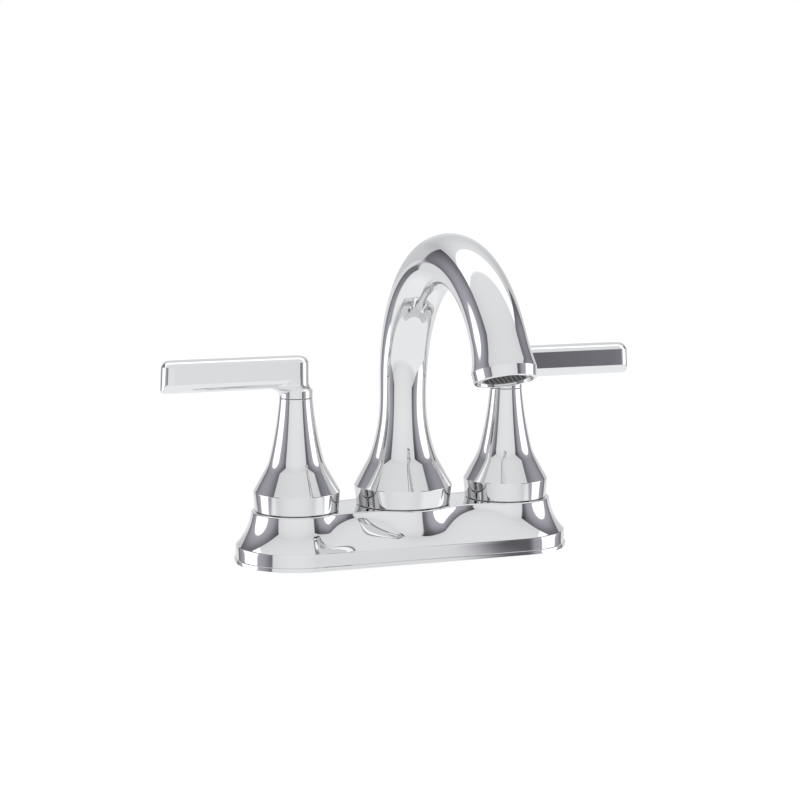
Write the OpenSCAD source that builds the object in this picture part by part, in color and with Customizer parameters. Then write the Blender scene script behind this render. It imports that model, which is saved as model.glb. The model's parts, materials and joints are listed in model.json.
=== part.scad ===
// Centerset bathroom faucet: two lever handles and a gooseneck spout on one deck plate.
// Frame: origin on the deck at the middle of the plate, +Z up, the user stands at -Y,
// the hot handle is at -X and the cold handle at +X. Millimetres.

/* [Base plate] */
// Distance between the two handle axes (4 inch centres)
centres = 101.6; // [101:0.2:102.4]
// Half width of the rim band, and radius of its round ends
rim_r = 27.6; // [27:0.1:28.4]
// How far the foot flange stands out past the rim band
foot_lip = 0.6; // [0.3:0.1:0.8]
// Height of the foot flange
foot_h = 1.9; // [1.5:0.1:2.4]
// Height of the crease where the rim band meets the flared flank
crease_z = 7.6; // [7:0.1:8.4]
// Height of the flat top of the plate
plate_h = 22.9; // [22.4:0.1:23.4]
// Radius of the round turret under each handle, at the plate's top
turret_r = 20.5; // [20:0.1:21.2]
// Radius of the round turret under the spout, at the plate's top
spout_turret_r = 23; // [22.6:0.1:23.6]
// Half width of the plate's top at the concave waists
waist_y = 15.5; // [14.5:0.5:16.5]
// Wall thickness of the hollow casting
plate_wall = 2.4; // [2.2:0.1:2.6]

/* [Handle bells] */
// Radius of a handle bell at its foot
bell_foot_r = 18.88; // [18.6:0.02:19.2]
// Radius of a handle bell at the crease above its foot band
bell_crease_r = 19.54; // [19.3:0.02:19.8]
// Height of the crease above the foot band of all three bells
bell_crease_z = 31.57; // [31:0.1:32]
// Height of the top of a handle bell
bell_top_z = 73.6; // [73:0.1:74]

/* [Spout] */
// Radius of the spout at its foot
spout_foot_r = 21.38; // [21:0.02:21.8]
// Radius of the spout's foot at its crease
spout_crease_r = 22.4; // [22:0.1:22.8]
// Height where the straight leg ends and the bend begins
leg_top_z = 72.6; // [71:0.2:74]
// Radius of the short easing bend
ease_r = 112; // [100:1:125]
// Angle of the easing bend
ease_angle = 6; // [4:0.5:8]
// Radius of the main bend, along the middle of the tube
goose_r = 58.8; // [57:0.2:60]
// Angle of the main bend
goose_angle = 155; // [150:1:158]
// Radius of the collar at the outlet
collar_r = 13.15; // [13:0.05:13.4]
// Length of the collar
collar_len = 5.1; // [4.8:0.1:5.6]
// Radius of the waterway inside the spout
waterway_r = 8.2; // [7.6:0.1:8.6]

/* [Levers] */
// Distance from a handle's axis to the tip of its lever
lever_reach = 61.4; // [56:0.2:66]
// Width of a lever across its two flat faces
lever_w = 11.5; // [11.2:0.1:12]
// Width of a lever's top and of its end
lever_top_w = 7.7; // [7.2:0.1:8.2]
// Height of a lever's underside
lever_z0 = 77.9; // [77.6:0.1:78.4]
// Height of a lever's top
lever_z1 = 92.3; // [91.8:0.1:92.8]
// Height of the bevel along the top and the end of a lever
lever_bevel = 2.7; // [2.3:0.1:3.1]
// Height of the bevel along the bottom of a lever
lever_low_bevel = 4.5; // [4:0.1:5]
// Radius of the round hub under a lever
hub_r = 7.5; // [7.4:0.05:7.7]

/* [Deck fastening] */
// Radius of the threaded shanks (half inch pipe thread)
shank_r = 10.45; // [10.4:0.01:10.5]
// Length of the shanks below the deck
shank_len = 52; // [48:1:60]
// Thickness of the deck that the faucet is drawn clamped to
deck_t = 20; // [12:1:22]

/* [Hidden] */

// Small overlap that lets a cut run past a face
cut = 1;
// Clearance of a part that is screwed or pushed into another
snug = 0.05;
// Radial clearance of a part that turns in another
running = 0.05;
handle_x = centres / 2;

// Colours
chrome = [0.83, 0.83, 0.85];
brass = [0.78, 0.62, 0.32];
rubber = [0.12, 0.12, 0.13];
ceramic = [0.93, 0.92, 0.88];
nylon = [0.25, 0.25, 0.27];
steel = [0.62, 0.63, 0.65];
plastic = [0.35, 0.36, 0.38];

// Points of an arc that starts at [r, z], leans a0 from the vertical and ends leaning a1, dz higher
function bend(r, z, a0, a1, dz, n) =
    let (R = dz / (sin(a0) - sin(a1)))
    [for (i = [1:n])
        let (a = a0 + (a1 - a0) * i / n)
        [r - R * (cos(a) - cos(a0)), z + R * (sin(a0) - sin(a))]];

// Outline of the plate's top: three turrets joined by one concave arc on each side of the middle
waist_k0 = (handle_x * handle_x - turret_r * turret_r + spout_turret_r * spout_turret_r) / centres;
waist_k1 = (spout_turret_r - turret_r) / handle_x;
waist_b = 2 * waist_k0 * waist_k1 - 2 * (spout_turret_r - waist_y);
waist_c = waist_k0 * waist_k0 - spout_turret_r * spout_turret_r + waist_y * waist_y;
waist_root = sqrt(waist_b * waist_b - 4 * waist_k1 * waist_k1 * waist_c);
waist_r = 2 * waist_c / (waist_root - waist_b);
waist_x = waist_k0 + waist_k1 * waist_r;
waist_in = waist_x * spout_turret_r / (spout_turret_r + waist_r);
waist_out = handle_x - (handle_x - waist_x) * turret_r / (turret_r + waist_r);
function top_y(x) =
    x < waist_in ? sqrt(spout_turret_r * spout_turret_r - x * x)
    : x > waist_out ? sqrt(turret_r * turret_r - (handle_x - x) * (handle_x - x))
    : waist_y + waist_r - sqrt(waist_r * waist_r - (x - waist_x) * (x - waist_x));

// The flank leans flank_a0 at the crease and flank_a1 at the top
flank_a0 = 41.8;
flank_a1 = 8;
function flank(t) =
    let (s = sin(flank_a0) - t * (sin(flank_a0) - sin(flank_a1)))
    (sqrt(1 - s * s) - cos(flank_a0)) / (cos(flank_a1) - cos(flank_a0));

// The waists are cut in later than the flank curves, so that the flank isn't flat above the rim
waist_ease = 0.65;
function waist(t) = waist_ease * t * t * (3 - 2 * t) + (1 - waist_ease) * flank(t);

// One ring of the plate's loft: t goes from 0 at the rim to 1 at the top's outline, less is an inset
end_steps = 16;
side_steps = 32;
function loft_r(t, less) = rim_r - (rim_r - turret_r) * flank(t) - less;
function loft_y(x, t, less) = loft_r(t, less) - (turret_r - top_y(abs(x))) * waist(t);
function plate_ring(z, t, less) = concat(
    [for (i = [0:end_steps])
        let (a = -90 + 180 * i / end_steps, r = loft_r(t, less))
        [handle_x + r * cos(a), r * sin(a), z]],
    [for (i = [1:side_steps - 1])
        let (x = handle_x * cos(180 * i / side_steps) * 0.35 + handle_x * (1 - 2 * i / side_steps) * 0.65)
        [x, loft_y(x, t, less), z]],
    [for (i = [0:end_steps])
        let (a = 90 + 180 * i / end_steps, r = loft_r(t, less))
        [-handle_x + r * cos(a), r * sin(a), z]],
    [for (i = [1:side_steps - 1])
        let (x = -handle_x * cos(180 * i / side_steps) * 0.35 - handle_x * (1 - 2 * i / side_steps) * 0.65)
        [x, -loft_y(x, t, less), z]]);

// Closed solid through a stack of rings that all have the same number of points. With a tip, the
// ends are closed by strips between points that mirror each other about the line through that point
module skin(rings, tip = -1) {
    n = len(rings[0]);
    last = len(rings) - 1;
    points = [for (ring = rings) for (p = ring) p];
    bottom = tip < 0 ? [[for (i = [0:n - 1]) i]] : strips(n, tip, 0, true);
    top = tip < 0 ? [[for (i = [n - 1:-1:0]) last * n + i]] : strips(n, tip, last * n, false);
    sides = [for (k = [0:last - 1]) for (i = [0:n - 1])
        [k * n + i, (k + 1) * n + i, (k + 1) * n + (i + 1) % n, k * n + (i + 1) % n]];
    polyhedron(points = points, faces = concat(bottom, sides, top), convexity = 6);
}

function strips(n, tip, start, upward) = [for (k = [0:n / 2 - 1])
    let (a = start + (tip + k) % n, b = start + (tip + k + 1) % n)
    let (c = start + (tip - k - 1 + n) % n, d = start + (tip - k + n) % n)
    let (face = k == 0 ? [a, b, c] : k == n / 2 - 1 ? [a, b, d] : [a, b, c, d])
    upward ? face : [for (i = [len(face) - 1:-1:0]) face[i]]];

module stadium(r, h) {
    linear_extrude(height = h) union() {
        translate([-handle_x, 0]) circle(r = r, $fn = 96);
        translate([handle_x, 0]) circle(r = r, $fn = 96);
        translate([-handle_x, -r]) square([centres, 2 * r]);
    }
}

// Heights of the flank's rings, ending in the small round along the top edge, and the hollow inside
flank_steps = 7;
edge_round = 0.8;
flank_h = plate_h - edge_round - crease_z;
cavity_steps = 5;
cavity_top = plate_h - plate_wall - 0.1;
module plate_shell() {
    skin(concat(
        [for (k = [cavity_steps:-1:0])
            plate_ring(crease_z - 1 + (cavity_top - crease_z + 1) * k / cavity_steps,
                k / cavity_steps, plate_wall)],
        [plate_ring(0, 0, plate_wall), plate_ring(0, 0, -foot_lip), plate_ring(foot_h, 0, -foot_lip),
            plate_ring(foot_h + 0.2, 0, 0), plate_ring(crease_z, 0, 0)],
        [for (k = [1:flank_steps])
            plate_ring(crease_z + flank_h * k / flank_steps, k / flank_steps, 0)],
        [for (a = [45, 90])
            plate_ring(crease_z + flank_h + edge_round * sin(a), 1, edge_round * (1 - cos(a)))]),
        tip = end_steps / 2);
}

// Radii of the holes through the plate's top
neck_r = 10.6;
nipple_r = 8.1;
module base_plate() {
    color(chrome) difference() {
        plate_shell();
        for (x = [-handle_x, handle_x])
            translate([x, 0, cavity_top - cut])
                cylinder(r = neck_r + snug, h = plate_wall + 3 * cut, $fn = 96);
        translate([0, 0, cavity_top - cut])
            cylinder(r = nipple_r + snug, h = plate_wall + 3 * cut, $fn = 96);
    }
}

gasket_h = 2.2;
module deck_gasket() {
    color(rubber) difference() {
        stadium(rim_r - plate_wall - 0.1, gasket_h);
        for (x = [-handle_x, handle_x])
            translate([x, 0, -cut]) cylinder(r = shank_r + snug, h = gasket_h + 2 * cut, $fn = 96);
    }
}

// Ring of rectangular section, centred on the Z axis
module ring(inner, outer, z0, z1) {
    translate([0, 0, z0]) difference() {
        cylinder(r = outer, h = z1 - z0, $fn = 96);
        translate([0, 0, -cut]) cylinder(r = inner, h = z1 - z0 + 2 * cut, $fn = 96);
    }
}

module o_ring(middle_r, cord_r, z) {
    translate([0, 0, z]) rotate_extrude($fn = 96) translate([middle_r, 0]) circle(r = cord_r, $fn = 32);
}

// The bells stand on thin seat rings that show as a dark line
seat_h = 0.25;
bell_z0 = plate_h + seat_h;

module turned(outline) {
    rotate_extrude($fn = 96) polygon(outline);
}

// Outline of a bell from its foot: a band, a straight cone, a tight bend and a long easing neck
function bell_curve(foot_r, crease_r, cone_a, cone_z, mid_a, mid_dz, end_a, end_z) =
    let (cone = [crease_r - (cone_z - bell_crease_z) * tan(cone_a), cone_z])
    let (tight = bend(cone[0], cone[1], cone_a, mid_a, mid_dz, 5))
    let (knee = tight[len(tight) - 1])
    concat([[foot_r, bell_z0], [crease_r, bell_crease_z], cone], tight,
        bend(knee[0], knee[1], mid_a, end_a, end_z - knee[1], 9));

handle_curve = bell_curve(bell_foot_r, bell_crease_r, 29.3, 41.3, 14.5, 4.7, 5, bell_top_z);
spout_curve = bell_curve(spout_foot_r, spout_crease_r, 28.7, 42.6, 19, 3.1, 1, leg_top_z - 1);

// A curve shifted inwards by a wall, kept outside a smallest radius
function inner_curve(curve, wall, least) = [for (p = curve) [max(p[0] - wall, least), p[1]]];

bell_wall = 1.9;
neck_bore_r = 5.9;
web_z = 27.3;
web_h = 2.1;
module bell() {
    color(chrome) {
        difference() {
            turned(concat([[0, bell_z0]], handle_curve, [[0, bell_top_z]]));
            turned(concat([[0, bell_z0 - cut], [bell_foot_r - bell_wall, bell_z0 - cut]],
                inner_curve(handle_curve, bell_wall, neck_bore_r),
                [[neck_bore_r, bell_top_z + cut], [0, bell_top_z + cut]]));
        }
        ring(neck_r + snug, bell_foot_r - bell_wall + 0.8, web_z, web_z + web_h);
    }
}

module bell_seat_ring() {
    color(nylon) ring(bell_foot_r - bell_wall - 0.4, bell_foot_r - 0.4, plate_h, bell_z0);
}

stem_r = 4;
glide_flange_h = 0.4;
module glide_ring() {
    color(nylon) difference() {
        union() {
            translate([0, 0, bell_top_z - 9]) cylinder(r = neck_bore_r - snug, h = 9.1, $fn = 96);
            translate([0, 0, bell_top_z]) cylinder(r = hub_r - 0.45, h = glide_flange_h, $fn = 96);
        }
        translate([0, 0, bell_top_z - 9 - cut])
            cylinder(r = stem_r + running, h = 10 + 2 * cut, $fn = 96);
    }
}

// Valve body: shank, hexagonal flange, barrel and threaded neck, turned about the handle's axis
inlet_r = 5.5;
shank_bore_r = 7.6;
shank_bore_z1 = -8;
flange_z0 = gasket_h + 0.05;
flange_z1 = 8.2;
barrel_r = 12.5;
barrel_z1 = cavity_top - 0.05;
neck_z1 = 29.4;
chamber_r = 8.6;
chamber_z0 = 4.2;
gallery_r = 10;
tube_z = 14;
tube_r = 4;
relief_z = -35;
hex_28 = 28 / sqrt(3);
module valve_body(toward) {
    color(brass) difference() {
        union() {
            translate([0, 0, -shank_len]) cylinder(r = shank_r, h = shank_len + flange_z1, $fn = 96);
            translate([0, 0, flange_z0]) cylinder(r = hex_28, h = flange_z1 - flange_z0, $fn = 6);
            translate([0, 0, flange_z1]) cylinder(r = barrel_r, h = barrel_z1 - flange_z1, $fn = 96);
            translate([0, 0, barrel_z1 - cut]) cylinder(r = neck_r, h = neck_z1 - barrel_z1 + cut, $fn = 96);
        }
        translate([0, 0, -shank_len - cut])
            cylinder(r = shank_bore_r, h = shank_len + shank_bore_z1 + cut, $fn = 96);
        translate([0, 0, shank_bore_z1 - cut]) cylinder(r = inlet_r, h = chamber_z0 - shank_bore_z1 + 2 * cut, $fn = 96);
        translate([0, 0, chamber_z0]) cylinder(r = chamber_r, h = neck_z1, $fn = 96);
        ring_cut(chamber_r - 0.5, gallery_r, tube_z - 2.6, tube_z + 2.6);
        ring_cut(shank_r - 0.9, shank_r + cut, relief_z, relief_z + 1.5);
        rotate([0, toward * 90, 0]) translate([-toward * tube_z, 0, gallery_r - 1.5])
            cylinder(r = tube_r + snug, h = barrel_r, $fn = 48);
    }
}

module ring_cut(inner, outer, z0, z1) {
    turned([[inner, z0], [outer, z0], [outer, z1], [inner, z1]]);
}

module bonnet_nut() {
    hex_27 = 27 / sqrt(3);
    color(brass) difference() {
        translate([0, 0, plate_h + 0.05]) cylinder(r = hex_27, h = 4.2, $fn = 6);
        translate([0, 0, plate_h - cut]) cylinder(r = neck_r + snug, h = 8, $fn = 96);
    }
}

seal_z1 = 6.2;
module seat_seal() {
    color(rubber) ring(inlet_r + 0.2, chamber_r - 0.15, chamber_z0 + 0.02, seal_z1);
}

disc_r = 7.1;
disc_z0 = seal_z1 + 0.1;
disc_z1 = disc_z0 + 2.4;
port_r = 1.7;
port_at = 4.1;
module fixed_disc() {
    color(ceramic) difference() {
        translate([0, 0, disc_z0]) cylinder(r = disc_r, h = disc_z1 - disc_z0, $fn = 96);
        for (x = [-port_at, port_at])
            translate([x, 0, disc_z0 - cut]) cylinder(r = port_r, h = 2.4 + 2 * cut, $fn = 48);
    }
}

turning_z0 = disc_z1 + 0.05;
turning_z1 = turning_z0 + 2.5;
slot_depth = 0.8;
module turning_disc() {
    color(ceramic) difference() {
        translate([0, 0, turning_z0]) cylinder(r = disc_r - 0.05, h = turning_z1 - turning_z0, $fn = 96);
        for (y = [-port_at, port_at])
            translate([0, y, turning_z0 - cut]) cylinder(r = port_r, h = 2.5 + 2 * cut, $fn = 48);
        translate([-5, -1.1, turning_z1 - slot_depth]) cube([10, 2.2, slot_depth + cut]);
    }
}

cartridge_r = chamber_r - snug;
cartridge_z1 = 29.4;
head_z1 = 34;
groove_z = 25;
module cartridge_body() {
    hex_17 = 17 / sqrt(3);
    color(brass) difference() {
        union() {
            translate([0, 0, disc_z0]) cylinder(r = cartridge_r, h = cartridge_z1 - disc_z0 + 0.1, $fn = 96);
            translate([0, 0, cartridge_z1 + 0.1]) cylinder(r = hex_17, h = head_z1 - cartridge_z1 - 0.1, $fn = 6);
        }
        translate([0, 0, disc_z0 - cut]) cylinder(r = disc_r + 0.1, h = tube_z + 2.6 - disc_z0 + cut, $fn = 96);
        translate([0, 0, disc_z0]) cylinder(r = stem_r + running, h = head_z1, $fn = 96);
        ring_cut(cartridge_r - 0.9, cartridge_r + cut, groove_z - 0.6, groove_z + 0.6);
        translate([-chamber_r - cut, 0, tube_z + 0.5]) rotate([0, 90, 0])
            cylinder(r = 1.9, h = 2 * chamber_r + 2 * cut, $fn = 48);
    }
}

module cartridge_o_ring() {
    color(rubber) o_ring(cartridge_r - 0.42, 0.45, groove_z);
}

carrier_h = 2.2;
stem_groove_z = 22;
stem_z1 = 87.5;
module stem() {
    color(brass) difference() {
        union() {
            translate([0, 0, turning_z1 + 0.02]) cylinder(r = disc_r - 0.3, h = carrier_h, $fn = 96);
            translate([-4.8, -1, turning_z1 - slot_depth + 0.05]) cube([9.6, 2, slot_depth]);
            translate([0, 0, turning_z1 + 0.02]) cylinder(r = stem_r, h = stem_z1 - turning_z1, $fn = 96);
        }
        ring_cut(stem_r - 0.85, stem_r + cut, stem_groove_z - 0.6, stem_groove_z + 0.6);
    }
}

module stem_o_ring() {
    color(rubber) o_ring(stem_r - 0.42, 0.4, stem_groove_z);
}

// Lever, drawn with its bar towards +X from the handle's axis
hub_z0 = bell_top_z + glide_flange_h + 0.15;
end_lean = 0.35;
screw_z = 76.5;
screw_r = 1.5;
module bar_slab(r, reach_low, reach_high, z0, z1) {
    translate([0, 0, z0]) cylinder(r = r, h = z1 - z0, $fn = 32);
    hull() {
        translate([0, -r, z0]) cube([reach_low, 2 * r, 0.01]);
        translate([0, -r, z1 - 0.01]) cube([reach_high, 2 * r, 0.01]);
    }
}

module lever() {
    low = lever_z0 + lever_low_bevel;
    high = lever_z1 - lever_bevel;
    color(chrome) difference() {
        union() {
            hull() {
                bar_slab(lever_w / 2, lever_reach - lever_bevel + 0.1,
                    lever_reach - lever_bevel - 0.1, low, high);
                bar_slab(lever_top_w / 2, lever_reach + end_lean, lever_reach - end_lean,
                    lever_z0, lever_z1);
            }
            turned(concat([[0, hub_z0], [hub_r - 0.3, hub_z0], [hub_r, hub_z0 + 0.3], [hub_r, 76.7]],
                bend(hub_r, 76.7, 42, 3, 5, 6), [[0, 81.7]]));
            hub_fillet();
        }
        translate([0, 0, hub_z0 - cut]) cylinder(r = stem_r + snug, h = stem_z1 - hub_z0 + 0.3 + cut, $fn = 96);
        translate([0, stem_r - cut, screw_z]) rotate([-90, 0, 0])
            cylinder(r = screw_r + snug, h = hub_r, $fn = 48);
    }
}

// Concave web that carries the hub out into the lever's underside
fillet_r = 3.5;
module hub_fillet() {
    translate([0, lever_top_w / 2, 0]) rotate([90, 0, 0]) linear_extrude(height = lever_top_w)
        polygon(concat([[0, lever_z0 + 1], [0, lever_z0 - fillet_r]],
            [for (i = [0:8])
                let (a = 180 - 90 * i / 8)
                [hub_r - 0.5 + fillet_r * (1 + cos(a)), lever_z0 - fillet_r + fillet_r * sin(a)]],
            [[hub_r - 0.5 + fillet_r, lever_z0 + 1]]));
}

module set_screw() {
    color(steel) difference() {
        translate([0, stem_r + 0.02, screw_z]) rotate([-90, 0, 0]) cylinder(r = screw_r, h = 3, $fn = 48);
        translate([0, stem_r + 1.8, screw_z]) rotate([-90, 0, 0]) cylinder(r = 0.75, h = 3, $fn = 6);
    }
}

module mounting_washer() {
    color(steel) ring(shank_r + 0.2, 19, -deck_t - 2, -deck_t);
}

nut_h = 9;
module mounting_nut() {
    color(plastic) difference() {
        translate([0, 0, -deck_t - 2.05 - nut_h]) {
            cylinder(r = 14, h = nut_h, $fn = 96);
            translate([0, 0, nut_h - 2.5]) cylinder(r = 17.5, h = 2.5, $fn = 96);
            for (a = [0:90:270])
                rotate([0, 0, a + 45]) translate([12, -1.75, 0]) cube([8.5, 3.5, nut_h]);
        }
        translate([0, 0, -deck_t - 2.05 - nut_h - cut])
            cylinder(r = shank_r + snug, h = nut_h + 2 * cut, $fn = 96);
    }
}

// Centre line of the spout's tube: [y, z] and heading, a from the vertical, after s of each bend
ease_end = [-ease_r * (1 - cos(ease_angle)), leg_top_z + ease_r * sin(ease_angle)];
tip_angle = ease_angle + goose_angle;
function goose_point(a) =
    a < ease_angle ? [-ease_r * (1 - cos(a)), leg_top_z + ease_r * sin(a)]
    : [ease_end[0] - goose_r * (cos(ease_angle) - cos(a)), ease_end[1] + goose_r * (sin(a) - sin(ease_angle))];
ease_len = ease_r * ease_angle * PI / 180;
tube_len = ease_len + goose_r * goose_angle * PI / 180;
function goose_s(a) =
    (a < ease_angle ? ease_r * a : ease_r * ease_angle + goose_r * (a - ease_angle)) * PI / 180 / tube_len;

// Outer radius along the tube, as a share of its length: it swells slowly and flares to the collar
tube_r0 = 10.6;
tube_swell = 1.1;
tube_flare = 1.05;
function tube_radius(s) =
    tube_r0 + tube_swell * sin(90 * min(1, s * 1.9)) + tube_flare * pow(max(0, (s - 0.88) / 0.12), 1.6);

function tube_ring(a, r, count) =
    let (p = goose_point(a))
    [for (i = [0:count - 1])
        let (t = 360 * i / count)
        [-r * sin(t), p[0] + r * cos(t) * cos(a), p[1] + r * cos(t) * sin(a)]];

// A ring square to the straight leg, below the bend
function leg_ring(z, r, count) =
    [for (i = [0:count - 1]) let (t = 360 * i / count) [-r * sin(t), r * cos(t), z]];

bend_steps = 44;
function bend_angle(i) = tip_angle * i / bend_steps;
outer_count = 32;
inner_count = 20;
module tube_outside() {
    skin(concat([leg_ring(leg_top_z - 6, tube_r0 - 0.06, outer_count)],
        [for (i = [0:bend_steps]) tube_ring(bend_angle(i), tube_radius(goose_s(bend_angle(i))), outer_count)]));
}

module tube_inside() {
    skin(concat([leg_ring(leg_top_z - 6, waterway_r + 0.06, inner_count)],
        [for (i = [0:2:bend_steps]) tube_ring(bend_angle(i), waterway_r, inner_count)]));
}

// Places a piece at the outlet: its own +Z runs out of the mouth, from the end of the tube
module at_tip() {
    p = goose_point(tip_angle);
    translate([0, p[0], p[1]]) rotate([tip_angle, 0, 0]) children();
}

spout_wall = 2;
core_r = 11.2;
core_z1 = 47;
mouth_r = 11.3;
mouth_depth = 5;
lip_round = 0.85;
module spout() {
    leg_top = leg_top_z - 1;
    color(chrome) difference() {
        union() {
            difference() {
                turned(concat([[0, bell_z0]], spout_curve, [[0, leg_top]]));
                turned(concat([[core_r, bell_z0 - cut], [spout_foot_r - spout_wall, bell_z0 - cut]],
                    [for (p = inner_curve(spout_curve, spout_wall, core_r)) if (p[1] < core_z1) p],
                    [[core_r, core_z1]]));
            }
            tube_outside();
            at_tip() turned(concat([[0, -1.5], [collar_r - 0.7, -1.5], [collar_r - 0.15, 0],
                [collar_r, 0.15], [collar_r, collar_len - lip_round]],
                [for (a = [18:18:90])
                    [collar_r - lip_round * (1 - cos(a)), collar_len - lip_round * (1 - sin(a))]],
                [[0, collar_len]]));
        }
        translate([0, 0, bell_z0 - cut]) cylinder(r = nipple_r + snug, h = 46 - bell_z0 + cut, $fn = 96);
        translate([0, 0, 46 - cut]) cylinder(r = waterway_r - 0.3, h = leg_top_z - 5 - 46 + cut, $fn = 96);
        tube_inside();
        at_tip() translate([0, 0, -mouth_depth]) cylinder(r = mouth_r, h = mouth_depth + collar_len + cut, $fn = 96);
    }
}

module spout_seat_ring() {
    color(nylon) ring(spout_foot_r - spout_wall - 0.4, spout_foot_r - 0.4, plate_h, bell_z0);
}

nipple_z0 = 3.2;
nipple_z1 = 44;
module spout_nipple() {
    color(brass) difference() {
        translate([0, 0, nipple_z0]) cylinder(r = nipple_r, h = nipple_z1 - nipple_z0, $fn = 96);
        translate([0, 0, nipple_z0 + 3]) cylinder(r = inlet_r, h = nipple_z1, $fn = 96);
        translate([-nipple_r - cut, 0, tube_z]) rotate([0, 90, 0])
            cylinder(r = 2.8, h = 2 * nipple_r + 2 * cut, $fn = 48);
    }
}

module spout_locknut() {
    hex_24 = 24 / sqrt(3);
    color(brass) difference() {
        translate([0, 0, 3.6]) cylinder(r = hex_24, h = 4.6, $fn = 6);
        translate([0, 0, 3.6 - cut]) cylinder(r = nipple_r + snug, h = 4.6 + 2 * cut, $fn = 96);
    }
}

tee_r = 12.5;
tee_gallery_r = 10.3;
module outlet_tee() {
    color(brass) difference() {
        translate([0, 0, 8.25]) cylinder(r = tee_r, h = barrel_z1 - 8.25, $fn = 96);
        translate([0, 0, 8.25 - cut]) cylinder(r = nipple_r + snug, h = barrel_z1, $fn = 96);
        ring_cut(nipple_r - 0.5, tee_gallery_r, tube_z - 2.6, tube_z + 2.6);
        for (side = [-1, 1])
            rotate([0, side * 90, 0]) translate([-side * tube_z, 0, tee_gallery_r - 1.2])
                cylinder(r = tube_r + snug, h = tee_r, $fn = 48);
    }
}

// Straight brass tube from the outlet tee to a valve body, on the given side
module crossover_tube(side) {
    x0 = tee_gallery_r + 0.3;
    x1 = handle_x - gallery_r - 0.3;
    color(brass) rotate([0, side * 90, 0]) translate([-side * tube_z, 0, x0]) difference() {
        cylinder(r = tube_r, h = x1 - x0, $fn = 48);
        translate([0, 0, -cut]) cylinder(r = tube_r - 1, h = x1 - x0 + 2 * cut, $fn = 48);
    }
}

module aerator_housing() {
    color(chrome) at_tip() difference() {
        translate([0, 0, -3.5]) cylinder(r = mouth_r - snug, h = collar_len + 2.8, $fn = 96);
        translate([0, 0, -3.5 - cut]) cylinder(r = 9.7, h = collar_len + 2.3 + cut, $fn = 96);
        translate([0, 0, -3.5]) cylinder(r = 9.2, h = collar_len + 2.8 + cut, $fn = 96);
    }
}

// Disc with a honeycomb of six sided holes
module honeycomb(r, hole, pitch, z0, z1) {
    row = pitch * sqrt(3) / 2;
    rows = floor((r - hole) / row);
    at_tip() translate([0, 0, z0]) difference() {
        cylinder(r = r, h = z1 - z0, $fn = 96);
        for (j = [-rows:rows])
            for (i = [-6:6])
                let (x = (i + (abs(j) % 2) / 2) * pitch, y = j * row)
                if (sqrt(x * x + y * y) < r - hole - 0.4)
                    translate([x, y, -cut]) cylinder(r = hole, h = z1 - z0 + 2 * cut, $fn = 6);
    }
}

module aerator_screen() {
    color(nylon) honeycomb(9.6, 1.15, 2.4, collar_len - 2.4, collar_len - 1.3);
}

module flow_regulator() {
    color(plastic) honeycomb(9.6, 1.6, 4.6, -3.2, -1.2);
}

module aerator_washer() {
    color(rubber) at_tip() ring(waterway_r + 0.4, mouth_r - 0.1, 0.05 - mouth_depth, -3.55);
}

// Moves a handle's piece to its axis; the cold side is the mirror image of the hot side
module hot_side() {
    translate([-handle_x, 0, 0]) mirror([1, 0, 0]) children();
}

module cold_side() {
    translate([handle_x, 0, 0]) children();
}

base_plate();
deck_gasket();
spout();
spout_seat_ring();
spout_nipple();
spout_locknut();
outlet_tee();
crossover_tube(-1);  // hot_crossover_tube
crossover_tube(1);  // cold_crossover_tube
aerator_housing();
aerator_screen();
flow_regulator();
aerator_washer();
hot_side() bell();  // hot_bell
hot_side() bell_seat_ring();  // hot_bell_seat_ring
hot_side() glide_ring();  // hot_glide_ring
hot_side() bonnet_nut();  // hot_bonnet_nut
hot_side() valve_body(-1);  // hot_valve_body
hot_side() seat_seal();  // hot_seat_seal
hot_side() fixed_disc();  // hot_fixed_disc
hot_side() turning_disc();  // hot_turning_disc
hot_side() cartridge_body();  // hot_cartridge_body
hot_side() cartridge_o_ring();  // hot_cartridge_o_ring
hot_side() stem();  // hot_stem
hot_side() stem_o_ring();  // hot_stem_o_ring
hot_side() lever();  // hot_lever
hot_side() set_screw();  // hot_set_screw
hot_side() mounting_washer();  // hot_mounting_washer
hot_side() mounting_nut();  // hot_mounting_nut
cold_side() bell();  // cold_bell
cold_side() bell_seat_ring();  // cold_bell_seat_ring
cold_side() glide_ring();  // cold_glide_ring
cold_side() bonnet_nut();  // cold_bonnet_nut
cold_side() valve_body(-1);  // cold_valve_body
cold_side() seat_seal();  // cold_seat_seal
cold_side() fixed_disc();  // cold_fixed_disc
cold_side() turning_disc();  // cold_turning_disc
cold_side() cartridge_body();  // cold_cartridge_body
cold_side() cartridge_o_ring();  // cold_cartridge_o_ring
cold_side() stem();  // cold_stem
cold_side() stem_o_ring();  // cold_stem_o_ring
cold_side() lever();  // cold_lever
cold_side() set_screw();  // cold_set_screw
cold_side() mounting_washer();  // cold_mounting_washer
cold_side() mounting_nut();  // cold_mounting_nut
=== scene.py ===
"""Looks for the centerset faucet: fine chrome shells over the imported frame, a plain studio and the camera."""

import json
import math

import bmesh
import bpy
from mathutils import Matrix, Vector


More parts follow.
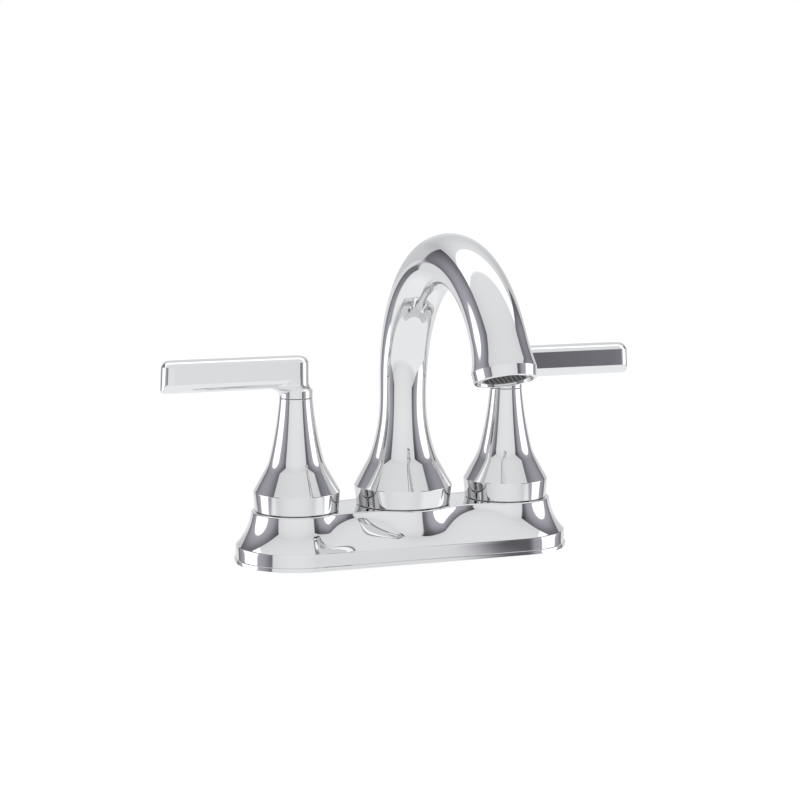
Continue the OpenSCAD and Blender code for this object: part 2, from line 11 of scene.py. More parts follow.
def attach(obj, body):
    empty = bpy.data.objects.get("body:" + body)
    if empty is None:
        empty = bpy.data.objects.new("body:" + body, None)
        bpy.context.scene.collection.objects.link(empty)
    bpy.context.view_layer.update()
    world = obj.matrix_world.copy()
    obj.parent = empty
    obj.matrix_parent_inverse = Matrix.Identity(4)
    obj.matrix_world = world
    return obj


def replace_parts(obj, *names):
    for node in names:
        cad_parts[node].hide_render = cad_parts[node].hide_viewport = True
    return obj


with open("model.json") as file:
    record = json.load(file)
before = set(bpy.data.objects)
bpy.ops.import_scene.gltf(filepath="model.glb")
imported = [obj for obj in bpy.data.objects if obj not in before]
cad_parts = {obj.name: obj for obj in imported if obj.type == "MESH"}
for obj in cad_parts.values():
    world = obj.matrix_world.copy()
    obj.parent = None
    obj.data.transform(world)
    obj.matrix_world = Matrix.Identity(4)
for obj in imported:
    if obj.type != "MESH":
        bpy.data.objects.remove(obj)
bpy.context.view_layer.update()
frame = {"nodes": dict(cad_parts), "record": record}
scene = bpy.context.scene
MM = 0.001
sin, cos, tan, rad = math.sin, math.cos, math.tan, math.radians
TAU = 2 * math.pi
HX = 50.8


# ---------------------------------------------------------------- materials

def new_material(name):
    m = bpy.data.materials.new(name)
    m.use_nodes = True
    nt = m.node_tree
    return m, nt, nt.nodes["Principled BSDF"]


def surface_variation(nt, bsdf, rough_lo, rough_hi, scale, bump, colour_lo=None, colour_hi=None):
    """Noise over the object's own coordinates, driving roughness, a faint bump and, if asked, the colour."""
    coord = nt.nodes.new("ShaderNodeTexCoord")
    noise = nt.nodes.new("ShaderNodeTexNoise")
    noise.inputs["Scale"].default_value = scale
    noise.inputs["Detail"].default_value = 4.0
    nt.links.new(coord.outputs["Object"], noise.inputs["Vector"])
    span = nt.nodes.new("ShaderNodeMapRange")
    span.inputs["From Min"].default_value = 0.3
    span.inputs["From Max"].default_value = 0.7
    span.inputs["To Min"].default_value = rough_lo
    span.inputs["To Max"].default_value = rough_hi
    nt.links.new(noise.outputs["Fac"], span.inputs["Value"])
    nt.links.new(span.outputs["Result"], bsdf.inputs["Roughness"])
    if bump:
        b = nt.nodes.new("ShaderNodeBump")
        b.inputs["Strength"].default_value = bump
        b.inputs["Distance"].default_value = 0.0002
        nt.links.new(noise.outputs["Fac"], b.inputs["Height"])
        nt.links.new(b.outputs["Normal"], bsdf.inputs["Normal"])
    if colour_lo:
        ramp = nt.nodes.new("ShaderNodeValToRGB")
        ramp.color_ramp.elements[0].position = 0.3
        ramp.color_ramp.elements[0].color = (*colour_lo, 1)
        ramp.color_ramp.elements[1].position = 0.7
        ramp.color_ramp.elements[1].color = (*colour_hi, 1)
        nt.links.new(noise.outputs["Fac"], ramp.inputs["Fac"])
        nt.links.new(ramp.outputs["Color"], bsdf.inputs["Base Color"])
    return noise


def metal(name, lo, hi, rough_lo, rough_hi, scale, bump):
    m, nt, bsdf = new_material(name)
    bsdf.inputs["Metallic"].default_value = 1.0
    surface_variation(nt, bsdf, rough_lo, rough_hi, scale, bump, lo, hi)
    return m


def dull(name, lo, hi, rough_lo, rough_hi, scale, bump):
    m, nt, bsdf = new_material(name)
    surface_variation(nt, bsdf, rough_lo, rough_hi, scale, bump, lo, hi)
    return m


CHROME = metal("chrome_plate", (0.745, 0.745, 0.747), (0.755, 0.755, 0.757), 0.02, 0.035, 14.0, 0.0)
MATS = {
    "chrome": CHROME,
    "brass": metal("machined_brass", (0.62, 0.44, 0.17), (0.72, 0.53, 0.23), 0.24, 0.38, 260.0, 0.12),
    "rubber": dull("moulded_rubber", (0.012, 0.012, 0.013), (0.03, 0.03, 0.032), 0.6, 0.8, 700.0, 0.3),
    "ceramic": dull("lapped_ceramic", (0.86, 0.85, 0.8), (0.9, 0.89, 0.85), 0.12, 0.2, 300.0, 0.0),
    "nylon": dull("dark_nylon", (0.02, 0.02, 0.022), (0.04, 0.04, 0.043), 0.1, 0.16, 500.0, 0.0),
    "steel": metal("stamped_steel", (0.5, 0.5, 0.52), (0.6, 0.6, 0.62), 0.28, 0.4, 300.0, 0.15),
    "plastic": dull("moulded_plastic", (0.09, 0.095, 0.1), (0.13, 0.135, 0.14), 0.42, 0.55, 400.0, 0.2),
}
MATS["nylon"].node_tree.nodes["Principled BSDF"].inputs["IOR"].default_value = 1.9
SLOT = {p["node"]: p["material_slot"] for p in frame["record"]["subparts"]}
for name, o in frame["nodes"].items():
    o.data.materials.clear()
    o.data.materials.append(MATS[SLOT[name]])


# ---------------------------------------------------------------- mesh helpers

def finish_mesh(name, verts, faces, body, slot="chrome", sharp=38):
    me = bpy.data.meshes.new(name)
    me.from_pydata([Vector(v) * MM for v in verts], [], faces)
    me.validate()
    bm = bmesh.new()
    bm.from_mesh(me)
    bmesh.ops.recalc_face_normals(bm, faces=bm.faces)
    bm.to_mesh(me)
    bm.free()
    me.shade_smooth()
    me.set_sharp_from_angle(angle=rad(sharp))
    o = bpy.data.objects.new(name, me)
    scene.collection.objects.link(o)
    me.materials.append(MATS[slot])
    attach(o, body)
    return o


def skin(rings, cap_start=True, cap_end=True):
    """Vertices and faces of a tube through rings with the same number of points."""
    n = len(rings[0])
    verts = [p for r in rings for p in r]
    faces = []
    for k in range(len(rings) - 1):
        for i in range(n):
            j = (i + 1) % n
            faces.append((k * n + i, k * n + j, (k + 1) * n + j, (k + 1) * n + i))
    if cap_start:
        faces.append(tuple(range(n))[::-1])
    if cap_end:
        faces.append(tuple((len(rings) - 1) * n + i for i in range(n)))
    return verts, faces


def rounded(points, steps=5):
    """Polyline of (r, z, radius): a corner with a radius becomes a small arc."""
    out = []
    for i, p in enumerate(points):
        radius = p[2] if len(p) > 2 else 0
        if radius <= 0 or i == 0 or i == len(points) - 1:
            out.append((p[0], p[1]))
            continue
        a = Vector((points[i - 1][0] - p[0], points[i - 1][1] - p[1]))
        b = Vector((points[i + 1][0] - p[0], points[i + 1][1] - p[1]))
        la, lb = a.length, b.length
        a.normalize()
        b.normalize()
        half = a.angle(b) / 2
        t = min(radius / tan(half), la * 0.48, lb * 0.48)
        rr = t * tan(half)
        c = Vector(p[:2]) + (a + b).normalized() * rr / sin(half)
        s = Vector(p[:2]) + a * t - c
        e = Vector(p[:2]) + b * t - c
        turn = math.atan2(s.x * e.y - s.y * e.x, s.dot(e))
        lead = min(0.12 * t, 0.04)
        out.append(tuple(Vector(p[:2]) + a * (t + lead)))
        for k in range(steps + 1):
            q = turn * k / steps
            out.append((c.x + s.x * cos(q) - s.y * sin(q), c.y + s.x * sin(q) + s.y * cos(q)))
        out.append(tuple(Vector(p[:2]) + b * (t + lead)))
    return out


def bend(r, z, a0, a1, dz, n):
    """Arc from (r, z), leaning a0 from the vertical at its start and a1 at its end, dz higher."""
    big = dz / (sin(rad(a0)) - sin(rad(a1)))
    out = []
    for i in range(1, n + 1):
        a = rad(a0 + (a1 - a0) * i / n)
        out.append((r - big * (cos(a) - cos(rad(a0))), z + big * (sin(rad(a0)) - sin(a))))
    return out


def revolve(profile, n, x=0.0, closed=False):
    """Lathe about the vertical axis at x. A closed profile ends where it starts."""
    rings = [[(x + r * cos(TAU * i / n), r * sin(TAU * i / n), z) for i in range(n)] for r, z in profile]
    if closed:
        rings.append(rings[0])
    v, f = skin(rings, not closed and profile[0][0] > 1e-6, not closed and profile[-1][0] > 1e-6)
    return v, f


# ---------------------------------------------------------------- handle bells

SEAT = 22.9
BELL_Z0 = 23.15
CREASE_Z = 31.57


def bell_curve(foot_r, crease_r, cone_a, cone_z, mid_a, mid_dz, end_a, end_z, n=26):
    cone_r = crease_r - (cone_z - CREASE_Z) * tan(rad(cone_a))
    tight = bend(cone_r, cone_z, cone_a, mid_a, mid_dz, 10)
    knee = tight[-1]
    return tight, bend(knee[0], knee[1], mid_a, end_a, end_z - knee[1], n), cone_r


def bell_outside(foot_r, crease_r, cone_a, cone_z, mid_a, mid_dz, end_a, end_z):
    tight, neck, cone_r = bell_curve(foot_r, crease_r, cone_a, cone_z, mid_a, mid_dz, end_a, end_z)
    foot = rounded([(foot_r - 1.2, BELL_Z0), (foot_r, BELL_Z0, 0.35), (crease_r, CREASE_Z, 0.45),
                    (cone_r, cone_z)], 6)
    return foot + tight + neck


def make_bell(side, x, body):
    out = bell_outside(18.88, 19.54, 29.3, 41.3, 14.5, 4.7, 5.0, 73.6)
    top_r = out[-1][0]
    out[-1:] = rounded([out[-2], (top_r, 73.6, 0.35), (5.9, 73.6)], 4)[1:-1]
    loop = out + [(5.9, 73.6), (5.9, 66.0), (9.5, 50.0), (16.5, 34.0), (16.98, 24.0), (16.98, BELL_Z0)]
    v, f = revolve(loop, 160, x, closed=True)
    o = finish_mesh(f"{side}_bell_shell", v, f, body)
    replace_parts(o, f"{side}_bell")
    return o


make_bell("hot", -HX, "faucet")
make_bell("cold", HX, "faucet")


# ---------------------------------------------------------------- base plate

RIM_R, FOOT_LIP, FOOT_H, CREASE, TOP = 27.6, 0.6, 1.9, 7.6, 22.9
TURRET, SPOUT_TURRET, WAIST_Y, WALL = 20.5, 23.0, 15.5, 2.4
k0 = (HX * HX - TURRET ** 2 + SPOUT_TURRET ** 2) / (2 * HX)
k1 = (SPOUT_TURRET - TURRET) / HX
wb = 2 * k0 * k1 - 2 * (SPOUT_TURRET - WAIST_Y)
wc = k0 * k0 - SPOUT_TURRET ** 2 + WAIST_Y ** 2
WR = 2 * wc / (math.sqrt(wb * wb - 4 * k1 * k1 * wc) - wb)
WX = k0 + k1 * WR
W_IN = WX * SPOUT_TURRET / (SPOUT_TURRET + WR)
W_OUT = HX - (HX - WX) * TURRET / (TURRET + WR)


def top_y(x):
    if x < W_IN:
        return math.sqrt(SPOUT_TURRET ** 2 - x * x)
    if x > W_OUT:
        return math.sqrt(TURRET ** 2 - (HX - x) ** 2)
    return WAIST_Y + WR - math.sqrt(WR * WR - (x - WX) ** 2)


def flank(t, a0=41.8, a1=8.0):
    s = sin(rad(a0)) - t * (sin(rad(a0)) - sin(rad(a1)))
    return (math.sqrt(1 - s * s) - cos(rad(a0))) / (cos(rad(a1)) - cos(rad(a0)))


def waist(t):
    return 0.8 * t * t * (3 - 2 * t) + 0.2 * flank(t)



END, SIDE = 72, 180


def plate_ring(z, f, less, g=None):
    ring = []
    g = f if g is None else g
    r = RIM_R - (RIM_R - TURRET) * f - less
    for sign in (1, -1):
        for i in range(END + 1):
            a = rad(-90 + 180 * i / END)
            ring.append((sign * (HX + r * cos(a)), sign * r * sin(a), z))
        for i in range(1, SIDE):
            x = HX * (1 - 2 * i / SIDE)
            y = RIM_R - (RIM_R - TURRET) * f - (TURRET - top_y(abs(x))) * g - less
            ring.append((sign * x, sign * y, z))
    return ring


def make_plate():
    rise = TOP - 0.8 - CREASE
    outer = [(FOOT_LIP * -1 + 0.25, 0.0, 0), (-FOOT_LIP, 0.25, 0), (-FOOT_LIP, FOOT_H - 0.25, 0),
             (-FOOT_LIP + 0.08, FOOT_H - 0.08, 0), (-FOOT_LIP + 0.25, FOOT_H, 0), (0.0, FOOT_H + 0.12, 0)]
    rings = []
    cav_top = TOP - WALL - 0.1
    for k in range(8, -1, -1):
        rings.append(plate_ring(CREASE - 1 + (cav_top - CREASE + 1) * k / 8, flank(k / 8), WALL, waist(k / 8)))
    rings.append(plate_ring(0, 0, WALL))
    for less, z, f in outer:
        rings.append(plate_ring(z, f, less))
    for k in range(1, 5):
        rings.append(plate_ring(FOOT_H + 0.12 + (CREASE - 0.4 - FOOT_H - 0.12) * k / 4, 0, 0))
    for less, dz in ((0.02, -0.2), (0.06, -0.02)):
        rings.append(plate_ring(CREASE + dz, 0, less))
    for k in range(1, 41):
        t = (k / 40) ** 1.15
        rings.append(plate_ring(CREASE + rise * t, flank(t), 0, waist(t)))
    for k in range(1, 7):
        a = rad(15 * k)
        rings.append(plate_ring(CREASE + rise + 0.8 * sin(a), 1, 0.8 * (1 - cos(a))))
    v, f = skin(rings)
    o = finish_mesh("base_plate_shell", v, f, "faucet")
    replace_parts(o, "base_plate")


make_plate()


# ---------------------------------------------------------------- spout

LEG_TOP, EASE_R, EASE_A, GOOSE_R, GOOSE_A = 72.6, 112.0, 6.0, 58.8, 155.0
COLLAR_R, COLLAR_LEN, MOUTH_R = 13.15, 5.1, 11.3
# Last stretch: from FREE_A the radius follows its own slopes, and from BEND_END the bend opens out
FREE_A, BEND_END, LAST_LEN, LAST_TURN = 118.0, 149.3, 12.96, 9.0
CREASE_R, CREASE_U, LIP_TAPER = 13.28, 0.65, 0.13
NECK = 12.0
EASE_END = (-EASE_R * (1 - cos(rad(EASE_A))), LEG_TOP + EASE_R * sin(rad(EASE_A)))
TIP_A = EASE_A + GOOSE_A
TUBE_LEN = rad(EASE_R * EASE_A + GOOSE_R * GOOSE_A)


def goose_point(a):
    if a < EASE_A:
        return (-EASE_R * (1 - cos(rad(a))), LEG_TOP + EASE_R * sin(rad(a)))
    return (EASE_END[0] - GOOSE_R * (cos(rad(EASE_A)) - cos(rad(a))),
            EASE_END[1] + GOOSE_R * (sin(rad(a)) - sin(rad(EASE_A))))


def goose_s(a):
    return rad(EASE_R * a if a < EASE_A else EASE_R * EASE_A + GOOSE_R * (a - EASE_A)) / TUBE_LEN


def tube_radius(s):
    return 10.6 + 1.1 * sin(rad(90 * min(1, s * 1.9)))


def tube_ring(p, a, r, n):
    return [(-r * sin(TAU * i / n), p[0] + r * cos(TAU * i / n) * cos(rad(a)),
             p[1] + r * cos(TAU * i / n) * sin(rad(a))) for i in range(n)]


def along_tip(d, r, n):
    """Ring of radius r, d past the end of the tube."""
    p = goose_point(TIP_A)
    q = (p[0] - d * sin(rad(TIP_A)), p[1] + d * cos(rad(TIP_A)))
    return tube_ring(q, TIP_A, r, n)


def tip_rings(n, steps=60):
    """Rings of the last stretch of the tube, ending in the crease round the outlet."""
    arc = rad(BEND_END - FREE_A) * GOOSE_R
    total = arc + LAST_LEN
    ds = total / steps
    y, z = goose_point(FREE_A)
    r = tube_radius(goose_s(FREE_A)) - 0.29
    end = (-114.92, 96.68)
    pts = []
    for i in range(steps + 1):
        d = i * ds
        a = FREE_A + math.degrees(d / GOOSE_R) if d < arc else BEND_END + LAST_TURN * (d - arc) / LAST_LEN
        slope = 0.023 * min(1, max(0, (d - arc + 18) / 18)) + 0.217 * max(0, (d - arc) / LAST_LEN)
        pts.append((y, z, a, r))
        y -= sin(rad(a)) * ds
        z += cos(rad(a)) * ds
        r += slope * ds
    dy, dz = end[0] - pts[-1][0], end[1] - pts[-1][1]
    grow = CREASE_R - pts[-1][3]
    rings = []
    for i, (y, z, a, r) in enumerate(pts):
        t = i / steps
        e = t * t * (3 - 2 * t)
        rings.append(tube_ring((y + dy * e, z + dz * e), a + (TIP_A - pts[-1][2]) * 0.5 * e, r + grow * t ** 6, n))
    return rings


def neck_radius(foot, d, r):
    """Radius d past the top of the foot: one smooth curve from NECK below it to NECK above it."""
    if d >= NECK:
        return r
    a, b = next((p, q) for p, q in zip(foot, foot[1:]) if q[1] >= LEG_TOP - NECK > p[1])
    m0 = (b[0] - a[0]) / (b[1] - a[1])
    r0 = a[0] + m0 * (LEG_TOP - NECK - a[1])
    r1 = tube_radius(NECK / TUBE_LEN)
    m1 = tube_radius((NECK + 0.5) / TUBE_LEN) - tube_radius((NECK - 0.5) / TUBE_LEN)
    t, h = (d + NECK) / (2 * NECK), 2 * NECK
    return ((2 * t ** 3 - 3 * t * t + 1) * r0 + (t ** 3 - 2 * t * t + t) * h * m0
            + (3 * t * t - 2 * t ** 3) * r1 + (t ** 3 - t * t) * h * m1)


def make_spout():
    n = 144
    out = bell_outside(21.38, 22.4, 28.7, 42.6, 19.0, 3.1, 1.0, LEG_TOP - 1)
    low = [(r, z) for r, z in out if z < LEG_TOP - NECK]
    low += [(neck_radius(out, d, 0), LEG_TOP + d) for d in (-NECK + 1.5 * i for i in range(int(NECK / 1.5)))]
    rings = [tube_ring((0, z), 0, r, n) for r, z in [(19.0, 32.0), (19.38, 24.0), (19.38, BELL_Z0)] + low]
    steps = 110
    for i in range(steps):
        a = FREE_A * i / steps
        thin = min(1, max(0, (a - 75) / (FREE_A - 75)))
        r = tube_radius(goose_s(a)) - 0.29 * thin * thin * (3 - 2 * thin)
        rings.append(tube_ring(goose_point(a), a, neck_radius(out, goose_s(a) * TUBE_LEN, r), n))
    rings += tip_rings(n)[:-1]
    lip_r = CREASE_R - LIP_TAPER * (COLLAR_LEN - CREASE_U)
    lip = rounded([(CREASE_R - 0.12, CREASE_U - 0.5), (CREASE_R, CREASE_U, 0.12), (lip_r, COLLAR_LEN, 0.55),
                   (MOUTH_R, COLLAR_LEN, 0.2), (MOUTH_R, -5.0), (8.2, -5.0)], 5)
    rings += [along_tip(d, r, n) for r, d in lip[1:]]
    for i in range(40, -1, -1):
        a = TIP_A * i / 40
        rings.append(tube_ring(goose_point(a), a, 8.2, n))
    rings.append(tube_ring((0, 46.0), 0, 8.0, n))
    v, f = skin(rings)
    o = finish_mesh("spout_shell", v, f, "faucet")
    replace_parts(o, "spout")


make_spout()


# ---------------------------------------------------------------- aerator

def make_screen():
    """Fine honeycomb across the outlet, with eased edges, in the place of the plain disc."""
    pitch, hole, back, front = 2.1, 1.02, COLLAR_LEN - 2.1, COLLAR_LEN - 0.62
    y0, z0 = goose_point(TIP_A)
    sa, ca = sin(rad(TIP_A)), cos(rad(TIP_A))
    verts, faces = [], []

    def loft(cx, cy, profile, n):
        base = len(verts)
        for r, d in profile:
            for i in range(n):
                u, v = cx + r * sin(TAU * i / n), cy + r * cos(TAU * i / n)
                verts.append((-u, y0 - d * sa + v * ca, z0 + d * ca + v * sa))
        m = len(profile)
        for j in range(m):
            for i in range(n):
                a, b, k = base + j * n, base + (j + 1) % m * n, (i + 1) % n
                faces.append((a + i, a + k, b + k, b + i))

    outer = pitch / math.sqrt(3) + 0.01
    cell = [(outer, back), (outer, front - 0.06), (outer - 0.06, front), (hole + 0.07, front),
            (hole + 0.02, front - 0.05), (hole, front - 0.15), (hole, back)]
    for j in range(-5, 6):
        for i in range(-5, 6):
            cx, cy = (i + abs(j) % 2 / 2) * pitch, j * pitch * math.sqrt(3) / 2
            if math.hypot(cx, cy) < 7.9:
                loft(cx, cy, cell, 6)
    loft(0, 0, [(9.14, back), (9.14, front), (8.55, front), (8.35, front - 0.2), (8.35, back)], 72)
    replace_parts(finish_mesh("aerator_mesh", verts, faces, "faucet", "nylon", 50), "aerator_screen")


make_screen()


# ---------------------------------------------------------------- levers

REACH, W_FULL, Z0, Z1, LEAN, WEB_R, WEB_Z = 61.4, 11.5, 77.9, 92.3, 0.4, 6.5, 74.0
HUB_R = 7.5


CHAMFER_A, CHAMFER_H, CROWN_R, BELLY_R = 34, 1.15, 3.6, 5.95
TIP_ROUND = 2.0


def tip_curve():
    """Plan of the tip, (depth, share of the half width): flat in the middle, rounder at the sides."""
    x = y = 0.0
    pts = [(0.0, 0.0)]
    for t in range(0, 90, 2):
        r = 10.7 if t < 8 else 4.7 if t < 30 else 5.5 if t < 45 else 4.86
        x += r * (cos(rad(t)) - cos(rad(t + 2)))
        y += r * (sin(rad(t + 2)) - sin(rad(t)))
        pts.append((x, y))
    return [(px, py / y) for px, py in pts]


TIP = tip_curve()


def slab_outline(w, z):
    """Plan of the bar at half width w: round at the hub, a blunter round at the leaning tip."""
    half = W_FULL / 2
    far = REACH - 0.06 + LEAN * (Z0 + Z1 - 2 * z) / (Z1 - Z0)
    low = max(0.0, 1 - (z - Z0) / TIP_ROUND)
    far -= TIP_ROUND * (1 - math.sqrt(1 - low * low))
    far -= 0.8 * (half - w) if z > (Z0 + Z1) / 2 else 0
    pts = [(w * cos(rad(t)), w * sin(rad(t)), z) for t in range(90, 271, 6)]
    n, back = 14, far - TIP[-1][0]
    pts += [(back * i / n, -w, z) for i in range(1, n)]
    pts += [(far - d, -w * u, z) for d, u in TIP[:0:-1]] + [(far - d, w * u, z) for d, u in TIP]
    return pts + [(back * (n - i) / n, w, z) for i in range(1, n)]


def belly_width(z):
    low = max(0.0, 1 - (z - Z0) / BELLY_R)
    return min(W_FULL / 2, BELLY_R * math.sqrt(1 - low * low))


def bar_profile():
    """Half section of the bar: round belly, flat face, chamfer and crowned top."""
    half = W_FULL / 2
    belly = [rad(86 - (86 - 15) * i / 10) for i in range(11)]
    crown = [rad(CHAMFER_A + 4 + (86 - CHAMFER_A - 4) * i / 12) for i in range(13)]
    pts = [(BELLY_R * cos(t), Z0 + BELLY_R * (1 - sin(t))) for t in belly[:-1]]
    z = Z1 - CROWN_R * (1 - sin(crown[0]))
    r = half - CHAMFER_H * math.tan(rad(CHAMFER_A))
    pts += [(half, Z0 + BELLY_R * (1 - sin(belly[-1])), 0.25), (half, z - CHAMFER_H, 0.3), (r, z)]
    pts += [(r - CROWN_R * (cos(crown[0]) - cos(t)), Z1 - CROWN_R * (1 - sin(t))) for t in crown[1:]]
    return rounded(pts, 4)


def hub_rings():
    """Round hub, flaring out below the bar, with a concave web drawn out under the bar."""
    prof = [(4.06, 74.15), (7.15, 74.15), (7.15, 73.85)]
    prof += rounded([(7.15, 73.85), (HUB_R, 73.85, 0.12), (HUB_R, 74.4)], 4)[1:]
    prof += [(HUB_R, 74.4 + 0.3 * i) for i in range(1, 9)]
    prof += rounded([(HUB_R, 76.9), (HUB_R, 77.0, 0.15), (7.42, 77.15)], 3)[1:-1]
    prof += bend(7.42, 77.15, 50, 1, 3.4, 14)
    prof += [(W_FULL / 2 - 0.02, 83.5), (W_FULL / 2 - 0.02, 86.5)]
    rings = []
    for r, z in prof:
        up = min(1.0, max(0.0, (z - WEB_Z) / (Z0 + 0.35 - WEB_Z)))
        out = HUB_R - 0.1 + WEB_R * (1 - math.sqrt(1 - up * up))
        small = 5.0 - 3.0 * up if up < 1 else max(2.0, belly_width(z) - 0.35)
        big = max(r, 4.06)
        small = min(small, big - 0.05)
        d = max(out - small, 0.0)
        ring = []
        for i in range(96):
            c, t = cos(TAU * i / 96), sin(TAU * i / 96)
            ring.append((d + small * c, small * t, z) if d * c + small > big else (big * c, big * t, z))
        rings.append(ring)
    return rings


def lever_object(side, sign, x, body):
    bm = bmesh.new()

    def add(v, f):
        base = [bm.verts.new(Vector(p) * MM) for p in v]
        for face in f:
            bm.faces.new([base[i] for i in face])

    add(*skin([slab_outline(w, z) for w, z in bar_profile()]))
    add(*skin(hub_rings()))
    bmesh.ops.transform(bm, matrix=Matrix.Translation((x * MM, 0, 0)) @ Matrix.Diagonal((sign, 1, 1, 1)),
                        verts=bm.verts)
    bmesh.ops.recalc_face_normals(bm, faces=bm.faces)
    me = bpy.data.meshes.new(f"{side}_lever_shell")
    bm.to_mesh(me)
    bm.free()
    me.shade_smooth()
    me.set_sharp_from_angle(angle=rad(30))
    o = bpy.data.objects.new(f"{side}_lever_shell", me)
    scene.collection.objects.link(o)
    me.materials.append(CHROME)
    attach(o, body)
    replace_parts(o, f"{side}_lever")


lever_object("hot", -1, -HX, "hot_handle")
lever_object("cold", 1, HX, "cold_handle")


# ---------------------------------------------------------------- studio

CAM_AZ, CAM_EL, CAM_D = -20.5, 7.8, 911.55
CHROME_R = 0.75
TARGET = Vector((-2.88, -3.94, 70.69))


def level(points, x):
    """Piecewise linear value through (x, value) points."""
    if x <= points[0][0]:
        return points[0][1]
    for (x0, v0), (x1, v1) in zip(points, points[1:]):
        if x <= x1:
            return v0 + (v1 - v0) * (x - x0) / max(x1 - x0, 1e-9)
    return points[-1][1]


def grey(v):
    """Scene brightness of a tone given as it shows, 0 to 255, in a chrome that reflects CHROME_R of it."""
    c = v / 255
    return (c / 12.92 if c < 0.04045 else ((c + 0.055) / 1.055) ** 2.4) / CHROME_R


def blend_edge(x, edge, soft):
    """0 below the edge, 1 above it, smooth across soft."""
    t = min(1, max(0, (x - edge) / soft + 0.5))
    return t * t * (3 - 2 * t)


WHITE = 1.6
# The room round the faucet, in metres, x to the right of the camera, y towards its side, z up
ROOM = [(-1.1, 1.1), (-1.7, 1.7), (-1.0, 1.15)]
MID = (0.0, 0.0, 0.09)
# Side panels: y and z edges, and the round light in each: y, z, radius
PANEL_Y, PANEL_Z, LAMP = (-1.152, 1.155), (-0.335, 0.905), (-0.055, 0.027, 0.42)
STRIP_Y = (-0.622, -0.06)
# Tone of a panel by distance from its middle, in panel half sizes
PANEL = [(0.4, 163), (0.55, 154), (0.62, 149), (0.7, 141), (0.78, 130), (0.87, 118), (0.97, 105), (1.05, 100),
         (1.15, 92), (1.26, 75), (1.4, 62)]


def between(x, span, soft):
    return blend_edge(x, span[0], soft) * (1 - blend_edge(x, span[1], soft))


def room_tone(x, y, z):
    """Brightness of the walls, without the lights and panels, seen from the middle."""
    if y > 0 and abs(z) < 0.9 * y:
        u, w = x / y, z / y
        tone = max(205, 225.5 - 13 * min(abs(u), 1.2) ** 2 - (17 * w * w if w > 0 else 9 * abs(w)))
    elif z > 0:
        u, w = x / z, y / z
        if w > -0.12:
            tone = level([(-0.12, 223), (0.5, 220), (1.0, 216), (1.4, 214), (2.0, 216)], w)
            tone -= 7 * min(1.4, abs(u)) ** 2
        else:
            tone = level([(-3.5, 211), (-2.4, 204), (-1.8, 199), (-1.4, 203), (-1.0, 212), (-0.7, 219)], w)
            tone -= 12 * min(1.2, abs(u)) ** 2
    else:
        tone = 231.5
    here = grey(tone)
    # the floor is lighter than the walls
    if z < 0 and y > 0:
        here += (grey(231) - here) * blend_edge(-z, 0.66 * y, 0.22)
    elif z < 0:
        down = min(1, max(0, (z / min(y, -1e-6) - 0.35) / 0.45))
        here = grey(212) * (1 - down) + grey(231) * down
    return here


def studio_tone(x, y, z):
    """(brightness, share of dark panel) of a point of the room's walls."""
    dx, dy, dz = x - MID[0], y - MID[1], z - MID[2]
    here = room_tone(dx, dy, dz)
    if dz > 0.3:
        strip = between(dy / dz, (STRIP_Y[0] / 1.06, STRIP_Y[1] / 1.06), 0.1) * (1 - blend_edge(abs(dx) / dz, 1.33, 0.05))
        here += (WHITE - here) * strip
    inside = 0
    if abs(x) > 1.09:
        inside = blend_edge(y, PANEL_Y[0], 0.04) * (1 - blend_edge(y, PANEL_Y[1], 0.11)) * between(z, PANEL_Z, 0.04)
    if not inside:
        return here, 0
    u, w = dy / abs(dx), dz / abs(dx)
    tone = level(PANEL, math.hypot(u / 1.07, w / (0.745 if w > 0 else 0.9)))
    tone = grey(tone - 17 * blend_edge(y, 0.8, 0.2) if x > 0 else tone)
    lamp = 1 - blend_edge(math.hypot(y - LAMP[0], z - LAMP[1]), LAMP[2], 0.06)
    tone += (WHITE - tone) * lamp
    return here + (tone - here) * inside, inside * (1 - lamp)


def lines(span, step, fine=(), fine_step=0.012):
    """Grid lines across a span, close together in the fine spans."""
    out = {span[0], span[1]}
    n = round((span[1] - span[0]) / step)
    out |= {span[0] + (span[1] - span[0]) * i / n for i in range(n + 1)}
    for a, b in fine:
        n = round((b - a) / fine_step)
        out |= {a + (b - a) * i / n for i in range(n + 1)}
    return sorted(v for v in out if span[0] <= v <= span[1])


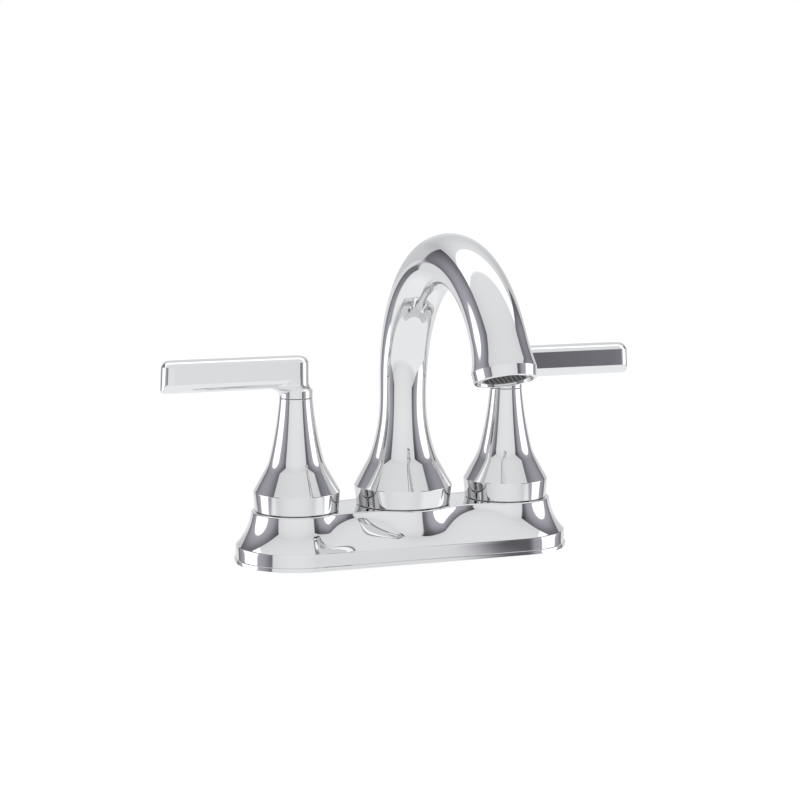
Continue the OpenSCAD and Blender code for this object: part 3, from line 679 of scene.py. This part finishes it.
def make_surround():
    az0 = rad(CAM_AZ)
    verts, faces, glow = [], [], []
    gx = lines(ROOM[0], 0.05)
    gy = lines(ROOM[1], 0.05, [(-1.25, -1.13), (-0.72, 0.42), (1.05, 1.29)])
    gz = lines(ROOM[2], 0.05, [(-0.42, 0.50), (0.85, 0.96)])
    walls = [(0, 0, gy, gz), (0, 1, gy, gz), (1, 0, gx, gz), (1, 1, gx, gz), (2, 0, gx, gy), (2, 1, gx, gy)]
    for axis, end, ga, gb in walls:
        base = len(verts)
        for p in ga:
            for q in gb:
                x, y, z = [(ROOM[0][end], p, q), (p, ROOM[1][end], q), (p, q, ROOM[2][end])][axis]
                verts.append((x * cos(az0) + y * sin(az0), x * sin(az0) - y * cos(az0), z))
                v, dark = studio_tone(x, y, z)
                glow += [v * (0.99 + 0.027 * dark), v, v * (1.018 + 0.098 * dark), 1.0]
        n = len(gb)
        faces += [(base + i * n + j, base + (i + 1) * n + j, base + (i + 1) * n + j + 1, base + i * n + j + 1)
                  for i in range(len(ga) - 1) for j in range(n - 1)]
    me = bpy.data.meshes.new("surround")
    me.from_pydata(verts, [], faces)
    att = me.attributes.new("glow", "FLOAT_COLOR", "POINT")
    att.data.foreach_set("color", glow)
    o = bpy.data.objects.new("surround", me)
    scene.collection.objects.link(o)
    m = bpy.data.materials.new("surround_cards")
    m.use_nodes = True
    nt = m.node_tree
    nt.nodes.clear()
    a = nt.nodes.new("ShaderNodeAttribute")
    a.attribute_name = "glow"
    e = nt.nodes.new("ShaderNodeEmission")
    out = nt.nodes.new("ShaderNodeOutputMaterial")
    nt.links.new(a.outputs["Color"], e.inputs["Color"])
    nt.links.new(e.outputs["Emission"], out.inputs["Surface"])
    m.cycles.emission_sampling = "NONE"
    me.materials.append(m)
    o.visible_camera = False
    o.visible_diffuse = False
    o.visible_transmission = False
    o.visible_shadow = False


def make_floor():
    me = bpy.data.meshes.new("floor")
    # open below the base plate, so that its underside stays in sight from below
    n, r, z = 96, 27.0 * MM, -0.02 * MM
    hole = [(HX * MM * (1 if i < n // 2 else -1) + r * sin(TAU * i / n), r * cos(TAU * i / n), z) for i in range(n)]
    far = [(30 * sin(TAU * i / n), 30 * cos(TAU * i / n), z) for i in range(n)]
    me.from_pydata(hole + far, [], [(i, (i + 1) % n, n + (i + 1) % n, n + i) for i in range(n)])
    o = bpy.data.objects.new("floor", me)
    scene.collection.objects.link(o)
    m = bpy.data.materials.new("pale_floor")
    m.use_nodes = True
    nt = m.node_tree
    nt.nodes.clear()
    path = nt.nodes.new("ShaderNodeLightPath")
    diff = nt.nodes.new("ShaderNodeBsdfDiffuse")
    diff.inputs["Color"].default_value = (0.3, 0.3, 0.3, 1)
    e = nt.nodes.new("ShaderNodeEmission")
    e.inputs["Strength"].default_value = 0.76
    seen = nt.nodes.new("ShaderNodeMath")
    seen.operation = "MAXIMUM"
    nt.links.new(path.outputs["Is Camera Ray"], seen.inputs[0])
    nt.links.new(path.outputs["Is Transmission Ray"], seen.inputs[1])
    none = nt.nodes.new("ShaderNodeEmission")
    none.inputs["Strength"].default_value = 0.0
    mix = nt.nodes.new("ShaderNodeMixShader")
    nt.links.new(seen.outputs["Value"], mix.inputs["Fac"])
    nt.links.new(none.outputs["Emission"], mix.inputs[1])
    nt.links.new(e.outputs["Emission"], mix.inputs[2])
    add = nt.nodes.new("ShaderNodeAddShader")
    nt.links.new(diff.outputs["BSDF"], add.inputs[0])
    nt.links.new(mix.outputs["Shader"], add.inputs[1])
    out = nt.nodes.new("ShaderNodeOutputMaterial")
    nt.links.new(add.outputs["Shader"], out.inputs["Surface"])
    m.cycles.emission_sampling = "NONE"
    me.materials.append(m)
    o.visible_glossy = False


def make_world():
    w = bpy.data.worlds.new("studio") if not scene.world else scene.world
    scene.world = w
    w.use_nodes = True
    bg = w.node_tree.nodes["Background"]
    bg.inputs["Color"].default_value = (1, 1, 1, 1)
    bg.inputs["Strength"].default_value = 1.0


def make_camera():
    cam = bpy.data.cameras.new("camera")
    cam.lens = 90.83
    cam.sensor_width = 36.0
    cam.clip_start = 0.05
    cam.clip_end = 100
    o = bpy.data.objects.new("camera", cam)
    scene.collection.objects.link(o)
    d = Vector((sin(rad(CAM_AZ)) * cos(rad(CAM_EL)), -cos(rad(CAM_AZ)) * cos(rad(CAM_EL)), sin(rad(CAM_EL))))
    o.location = (TARGET + d * CAM_D) * MM
    o.rotation_euler = (-d).to_track_quat("-Z", "Y").to_euler()
    scene.camera = o


make_surround()
make_floor()
make_world()
make_camera()
scene.view_settings.view_transform = "Standard"
